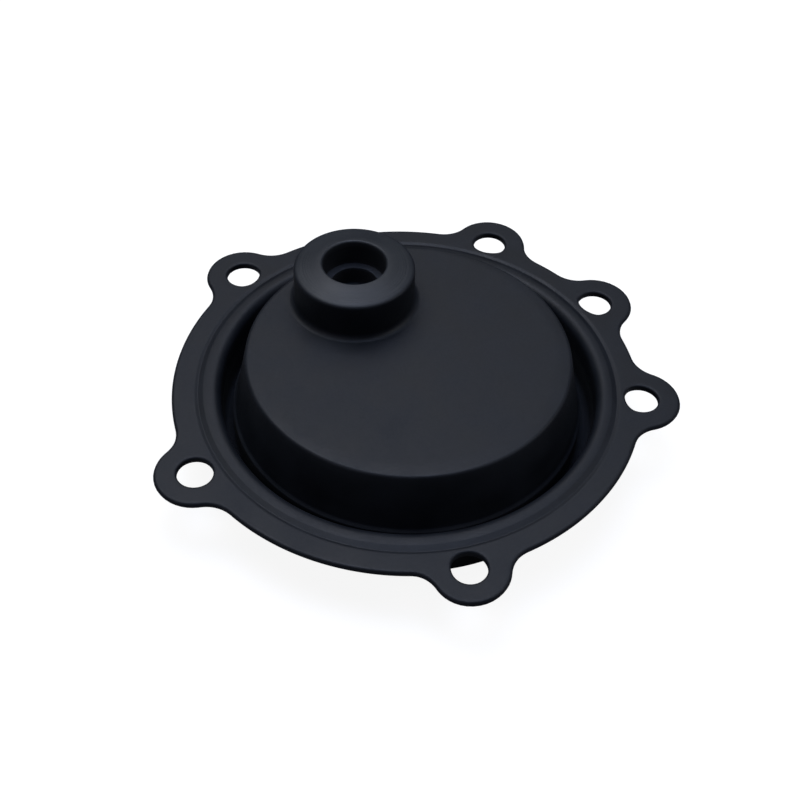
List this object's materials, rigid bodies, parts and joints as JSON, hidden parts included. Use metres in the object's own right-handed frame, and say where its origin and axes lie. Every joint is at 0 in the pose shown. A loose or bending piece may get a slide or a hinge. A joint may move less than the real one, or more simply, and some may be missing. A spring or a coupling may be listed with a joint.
{
  "type": "diaphragm seal",
  "caption": "Moulded rubber diaphragm seal: flat crown with an offset socketed boss, a deep roll, a sealing bead and a thin eared bolting flange.",
  "frame": {"origin": "centre of the bolt circle, on the flange's underside", "axes": "+Z out of the flat crown and along the stem socket, +X through the ear midway between two neighbours that are one pitch apart"},
  "size_m": [0.0864, 0.0828, 0.0236],
  "materials": {
    "rubber": "satin black moulded rubber"
  },
  "bodies": {
    "root": {"diaphragm": "rubber"}
  },
  "joints": []
}
